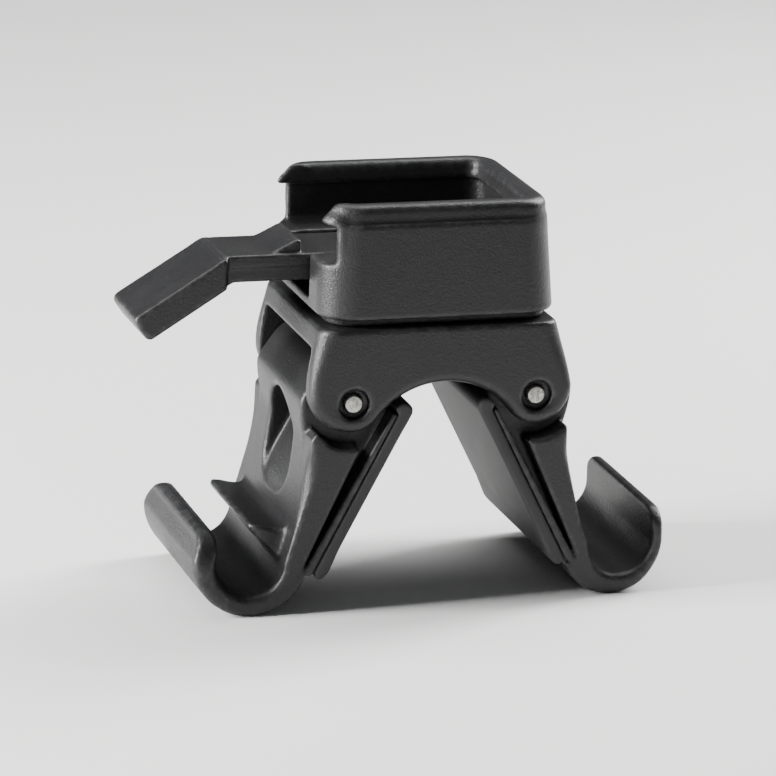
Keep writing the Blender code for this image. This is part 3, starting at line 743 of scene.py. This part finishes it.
class Grid:
    """A Geometry Nodes tree that is written from inputs to output."""

    def __init__(self, name, **sizes):
        self.tree = bpy.data.node_groups.new(name, "GeometryNodeTree")
        sockets = self.tree.interface
        sockets.new_socket("Geometry", in_out="INPUT", socket_type="NodeSocketGeometry")
        for word, value in sizes.items():
            kind = "NodeSocketInt" if isinstance(value, int) else "NodeSocketFloat"
            socket = sockets.new_socket(word, in_out="INPUT", socket_type=kind)
            socket.default_value = value
        sockets.new_socket("Geometry", in_out="OUTPUT", socket_type="NodeSocketGeometry")
        self.inputs = self.tree.nodes.new("NodeGroupInput").outputs

    def node(self, kind, values):
        """A new node's outputs. Each value is a number or a link from another node."""
        made = self.tree.nodes.new(kind)
        for key, value in values.items():
            if isinstance(value, bpy.types.NodeSocket):
                self.tree.links.new(value, made.inputs[key])
            else:
                made.inputs[key].default_value = value
        return made.outputs

    def result(self, socket, material):
        """Realises the instances, sets the material and ends the tree."""
        real = self.node("GeometryNodeRealizeInstances", {"Geometry": socket})
        done = self.node("GeometryNodeSetMaterial", {"Geometry": real[0], "Material": material})
        end = self.tree.nodes.new("NodeGroupOutput")
        self.tree.links.new(done[0], end.inputs[0])

    def made_from(self, name, mesh, body, slot, material, *nodes):
        """The tree's result on a mesh, as a plain piece."""
        source = bpy.data.objects.new(name, mesh)
        bpy.context.scene.collection.objects.link(source)
        source.modifiers.new("nodes", "NODES").node_group = self.tree
        bpy.context.view_layer.update()
        graph = bpy.context.evaluated_depsgraph_get()
        plain = bpy.data.meshes.new_from_object(source.evaluated_get(graph))
        source.modifiers.clear()
        source.data = plain
        carry(source, body, slot, material, *nodes)
        return source


def build_screws(material):
    """One screw, set at the four corners of a grid under the saddle's plate."""
    one = skin("screw_pattern", screw_field, *SCREW_BOX, SCREW_CELL, blurs=0)
    one.data.transform(Matrix.Translation(-MIDDLE))
    seat = MIDDLE + Vector((0, 0, (PLATE_UNDER_Z - HEAD_GAP) * MM))
    grid = Grid("screws_under_plate", span_x=2 * SCREW_X * MM, span_y=2 * SCREW_Y * MM)
    corners = grid.node(
        "GeometryNodeMeshGrid",
        {
            "Size X": grid.inputs["span_x"],
            "Size Y": grid.inputs["span_y"],
            "Vertices X": 2,
            "Vertices Y": 2,
        },
    )
    moved = grid.node("GeometryNodeSetPosition", {"Geometry": corners["Mesh"], "Offset": seat})
    screw = grid.node("GeometryNodeObjectInfo", {"Object": one})
    placed = grid.node(
        "GeometryNodeInstanceOnPoints", {"Points": moved[0], "Instance": screw["Geometry"]}
    )
    grid.result(placed[0], material)
    nodes = [f"shoe_screw_{d}_{s}" for d in ("front", "back") for s in ("left", "right")]
    empty = bpy.data.meshes.new("shoe_screws")
    made = grid.made_from("shoe_screws", empty, BODY, "screw_steel", material, *nodes)
    made.data.shade_smooth()
    made.data.set_sharp_from_angle(angle=math.radians(40))
    bpy.data.objects.remove(one, do_unlink=True)


def build_spring(material):
    """The latch's return spring: a round wire swept along a coil."""
    low, high = (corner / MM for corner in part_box("latch_spring"))
    height = (high.z - low.z) - 2 * SPRING_WIRE_R
    grid = Grid(
        "latch_spring",
        wire_radius=SPRING_WIRE_R * MM,
        coil_radius=SPRING_COIL_R * MM,
        height=height * MM,
        turns=SPRING_TURNS,
    )
    coil = grid.node(
        "GeometryNodeCurveSpiral",
        {
            "Resolution": 40,
            "Rotations": grid.inputs["turns"],
            "Start Radius": grid.inputs["coil_radius"],
            "End Radius": grid.inputs["coil_radius"],
            "Height": grid.inputs["height"],
        },
    )
    wire = grid.node(
        "GeometryNodeCurvePrimitiveCircle", {"Resolution": 12, "Radius": grid.inputs["wire_radius"]}
    )
    swept = grid.node(
        "GeometryNodeCurveToMesh", {"Curve": coil[0], "Profile Curve": wire[0], "Fill Caps": True}
    )
    foot = Vector(((low.x + high.x) / 2, 0, low.z + SPRING_WIRE_R)) * MM
    moved = grid.node("GeometryNodeSetPosition", {"Geometry": swept[0], "Offset": foot})
    grid.result(moved[0], material)
    name = "latch_return_spring"
    empty = bpy.data.meshes.new(name)
    made = grid.made_from(name, empty, BODY, "spring_steel", material, "latch_spring")
    made.data.shade_smooth()
    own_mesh(made)


# ---------------------------------------------------------------- materials


# Sockets of a colour Mix node, which share their names with its sockets for numbers and vectors
MIX_FACTOR, MIX_FIRST, MIX_SECOND, MIX_RESULT = 0, 6, 7, 2


class Socket:
    """A shader socket that arithmetic works on: an expression adds its Math nodes."""

    def __init__(self, finish, socket):
        self.finish = finish
        self.socket = socket

    def math(self, operation, *values):
        return self.finish.node("ShaderNodeMath", dict(enumerate(values)), operation=operation)

    def __add__(self, other):
        return self.math("ADD", self, other)

    def __sub__(self, other):
        return self.math("SUBTRACT", self, other)

    def __mul__(self, other):
        return self.math("MULTIPLY", self, other)

    def __rsub__(self, other):
        return self.math("SUBTRACT", other, self)

    __radd__ = __add__
    __rmul__ = __mul__

    def above(self, start, end):
        """0 below start, 1 above end, and a smooth run between."""
        values = {"Value": self, "From Min": start, "From Max": end}
        return self.finish.node("ShaderNodeMapRange", values, interpolation_type="SMOOTHSTEP")


class Finish:
    """One material: a Principled shader, and the nodes that vary it over a surface."""

    def __init__(self, name, roughness, metallic=0.0, **constants):
        self.material = bpy.data.materials.new(name)
        self.material.use_nodes = True
        self.tree = self.material.node_tree
        self.shader = self.tree.nodes["Principled BSDF"]
        self.shader.inputs["Roughness"].default_value = roughness
        self.shader.inputs["Metallic"].default_value = metallic
        for word, value in constants.items():
            self.shader.inputs[word].default_value = value
        self.place = self.node("ShaderNodeTexCoord", out="Object")

    def node(self, kind, values=None, out=0, **settings):
        """One output of a new node. Its settings come first, then the values or links it reads."""
        made = self.tree.nodes.new(kind)
        for word, value in settings.items():
            setattr(made, word, value)
        for key, value in (values or {}).items():
            if isinstance(value, Socket):
                self.tree.links.new(value.socket, made.inputs[key])
            else:
                made.inputs[key].default_value = value
        return Socket(self, made.outputs[out])

    def noise(self, size_mm, detail=2.0, rough=0.5):
        """A cloudy pattern of that size, from 0 to 1."""
        values = {
            "Vector": self.place,
            "Scale": 1 / (size_mm * MM),
            "Detail": detail,
            "Roughness": rough,
        }
        return self.node("ShaderNodeTexNoise", values)

    def mix(self, factor, *colours):
        """The first colour where the factor is 0, and the second where it is 1."""
        first, second = ((*c, 1) if isinstance(c, tuple) else c for c in colours)
        values = {MIX_FACTOR: factor, MIX_FIRST: first, MIX_SECOND: second}
        return self.node("ShaderNodeMix", values, out=MIX_RESULT, data_type="RGBA")

    def bump(self, height, distance_mm, strength, under=None):
        """A normal from a height, laid over another bump where one is given."""
        values = {"Height": height, "Distance": distance_mm * MM, "Strength": strength}
        if under:
            values["Normal"] = under
        return self.node("ShaderNodeBump", values)

    def give(self, **channels):
        """Links what varies to the shader, and returns the finished material."""
        for word, value in channels.items():
            self.tree.links.new(value.socket, self.shader.inputs[word.replace("_", " ")])
        return self.material


def nylon():
    """Moulded black glass-filled nylon: a fine grain, patches of gloss, and a painted highlight on
    its edges.
    """
    f = Finish("black_nylon", 0.42, IOR=1.42)
    black, soft_black = (0.0065, 0.0065, 0.007), (0.0105, 0.0105, 0.011)
    # the last colour is a painted highlight for the outward rounded edges
    glass_fibre, painted_highlight_grey = (0.035, 0.035, 0.036), (0.045, 0.045, 0.046)
    grain = f.noise(size_mm=0.42, detail=3.0, rough=0.6)
    patches = f.noise(size_mm=7.0, detail=3.0)
    flow = f.noise(size_mm=1.6)
    edge = f.node("ShaderNodeAttribute", attribute_name="edge", out="Fac")
    # painted highlight: outward rounded edges are made paler and a little glossier, broken up by
    # the flow noise
    painted_edge_highlight = edge.above(0.25, 0.9) * flow.above(0.35, 0.75)
    fibres = grain.above(0.58, 0.78)
    colour = f.mix(patches, black, soft_black)
    colour = f.mix(fibres * 0.55, colour, glass_fibre)
    colour = f.mix(painted_edge_highlight * 0.5, colour, painted_highlight_grey)
    rough = 0.27 + 0.12 * patches + 0.16 * grain - 0.06 * painted_edge_highlight
    swell = f.bump(flow, distance_mm=0.05, strength=0.25)
    normal = f.bump(grain, distance_mm=0.12, strength=0.9, under=swell)
    return f.give(Base_Color=colour, Roughness=rough, Normal=normal)


def rubber():
    """Black moulded rubber: a matt skin with a soft bloom and a few pits."""
    f = Finish("black_rubber", 0.62, IOR=1.5)
    black, bloomed = (0.010, 0.010, 0.0105), (0.019, 0.019, 0.0195)
    grain = f.noise(size_mm=0.22, detail=3.0, rough=0.65)
    bloom = f.noise(size_mm=5.0, detail=4.0, rough=0.6)
    pits = f.noise(size_mm=0.8, detail=1.0).above(0.66, 0.74)
    colour = f.mix(bloom.above(0.3, 0.75), black, bloomed)
    rough = 0.52 + 0.16 * bloom + 0.08 * grain
    skin_bump = f.bump(grain, distance_mm=0.03, strength=0.5)
    normal = f.bump(pits, distance_mm=0.03, strength=0.4, under=skin_bump)
    return f.give(Base_Color=colour, Roughness=rough, Normal=normal)


def pin_steel():
    """Plain steel, sheared to length: a speckled, slightly pitted end with dull spots."""
    f = Finish("pin_steel", 0.36, metallic=1.0)
    dark, bright, dull = (0.2, 0.195, 0.18), (0.62, 0.61, 0.57), (0.16, 0.155, 0.14)
    speckle = f.noise(size_mm=0.3, detail=4.0, rough=0.7)
    spots = f.noise(size_mm=0.75).above(0.5, 0.68)
    colour = f.mix(speckle.above(0.3, 0.7), dark, bright)
    colour = f.mix(spots * 0.55, colour, dull)
    rough = 0.3 + 0.22 * speckle + 0.15 * spots
    normal = f.bump(speckle, distance_mm=0.03, strength=0.7)
    return f.give(Base_Color=colour, Roughness=rough, Normal=normal)


def plated_steel(name, tint):
    """Drawn or turned steel with a thin plating: fine marks and a cloudy gloss."""
    f = Finish(name, 0.3, metallic=1.0)
    cloud = f.noise(size_mm=1.2, detail=3.0)
    marks = f.noise(size_mm=0.12)
    colour = f.mix(cloud, tuple(0.75 * c for c in tint), tint)
    rough = 0.22 + 0.14 * cloud + 0.08 * marks
    normal = f.bump(marks, distance_mm=0.01, strength=0.4)
    return f.give(Base_Color=colour, Roughness=rough, Normal=normal)


def floor_paint():
    """Pale matt paint with a slow change of tone."""
    f = Finish("pale_floor", 0.7)
    tone = f.noise(size_mm=180.0)
    colour = f.mix(tone, (0.70, 0.70, 0.69), (0.74, 0.74, 0.73))
    return f.give(Base_Color=colour)


# ---------------------------------------------------------------- light, floor and camera


def area_light(name, place, size, watts, target):
    """A white softbox that faces the target."""
    data = bpy.data.lights.new(name, "AREA")
    data.shape = "RECTANGLE"
    data.size, data.size_y = size
    data.energy = watts
    light = bpy.data.objects.new(name, data)
    light.location = place
    light.rotation_euler = (target - Vector(place)).to_track_quat("-Z", "Y").to_euler()
    bpy.context.scene.collection.objects.link(light)


def build_studio():
    """A wide pale floor under the mount, four softboxes and a dim sky."""
    half = FLOOR_HALF
    mesh = bpy.data.meshes.new("floor")
    corners = [(-half, -half), (half, -half), (half, half), (-half, half)]
    mesh.from_pydata([(x, y, CAD_LOW.z) for x, y in corners], [], [(0, 1, 2, 3)])
    floor = bpy.data.objects.new("floor", mesh)
    bpy.context.scene.collection.objects.link(floor)
    floor.data.materials.append(floor_paint())
    for light in LIGHTS:
        area_light(*light, target=Vector((MIDDLE.x, 0, MIDDLE.z)))
    world = bpy.data.worlds.new("studio")
    bpy.context.scene.world = world
    world.use_nodes = True
    sky = world.node_tree.nodes["Background"]
    sky.inputs["Color"].default_value = SKY_COLOUR
    sky.inputs["Strength"].default_value = SKY_STRENGTH


def build_camera():
    """A long lens from the front left, a little above, rolled by two degrees."""
    turn, rise = CAMERA_AZIMUTH, CAMERA_ELEVATION
    back = Vector((
        math.sin(turn) * math.cos(rise),
        -math.cos(turn) * math.cos(rise),
        math.sin(rise),
    ))
    level = Vector((math.cos(turn), math.sin(turn), 0))
    across = (Matrix.Rotation(CAMERA_ROLL, 3, back) @ level).normalized()
    up = back.cross(across)
    data = bpy.data.cameras.new("camera")
    data.sensor_width = SENSOR
    data.lens = LENS
    data.clip_start, data.clip_end = 0.01, 20.0
    camera = bpy.data.objects.new("camera", data)
    place = MIDDLE + CAMERA_AIM + back * CAMERA_DISTANCE
    facing = Matrix((across, up, back)).transposed().to_4x4()
    camera.matrix_world = Matrix.Translation(place) @ facing
    bpy.context.scene.collection.objects.link(camera)
    bpy.context.scene.camera = camera


# ---------------------------------------------------------------- the mount


def build_moulded():
    """The saddle, the shoe, the lever, and each side's leg and pad."""
    plastic, soft = nylon(), rubber()
    saddle = skin("saddle_moulding", saddle_field, *SADDLE_BOX, CELL)
    carry(saddle, BODY, "black_nylon", plastic, "saddle")
    shoe = skin("shoe_moulding", shoe_field, *SHOE_BOX, CELL)
    carry(shoe, BODY, "black_nylon", plastic, "shoe")
    lever = skin("lever_moulding", lever_field, *LEVER_BOX, LEVER_CELL)
    carry(lever, LATCH_BODY, "black_nylon", plastic, "latch_lever")
    for word, side, body in (("left", -1, LEFT_BODY), ("right", 1, RIGHT_BODY)):
        leg_end = LEFT_LEG_END_X if side < 0 else RIGHT_LEG_END_X
        low, high = side_box(side, (LEG_START_X, leg_end), LEG_RISE)
        leg = skin(f"{word}_leg_moulding", leg_field(side), low, high, CELL)
        carry(leg, body, "black_nylon", plastic, f"{word}_leg")
        low, high = side_box(side, PAD_RUN, PAD_RISE)
        pad = skin(f"{word}_rubber_pad", pad_field(side), low, high, PAD_CELL)
        carry(pad, body, "black_rubber", soft, f"{word}_pad")


def build_metal():
    """The three pins, the screws under the plate and the latch's spring."""
    steel = pin_steel()
    half = PIN_HALF
    end = [(0, half + 0.05), (0.5, half + 0.05), (1.0, half + 0.02), (1.22, half - 0.03)]
    end += [(1.36, half - 0.02), (1.48, half - 0.08), (1.57, half - 0.2), (PIN_R, half - 0.4)]
    profile = both_ends(end)
    for word, side in (("left", -1), ("right", 1)):
        pin = turned(f"{word}_pin", profile, (side * PIN_X, 0, 0))
        carry(pin, BODY, "pin_steel", steel, f"{word}_hinge_pin")
    half = POCKET_HALF + LATCH_PIN_PAST
    end = [(0, half), (0.8, half), (0.95, half - 0.08), (LATCH_PIN_R, half - 0.25)]
    pin = turned("latch_pin", both_ends(end), LATCH_PIVOT, steps=48)
    carry(pin, BODY, "pin_steel", steel, "latch_pivot_pin")
    build_screws(plated_steel("screw_steel", (0.62, 0.62, 0.6)))
    build_spring(plated_steel("spring_steel", (0.5, 0.5, 0.49)))


build_camera()
build_studio()
build_moulded()
build_metal()
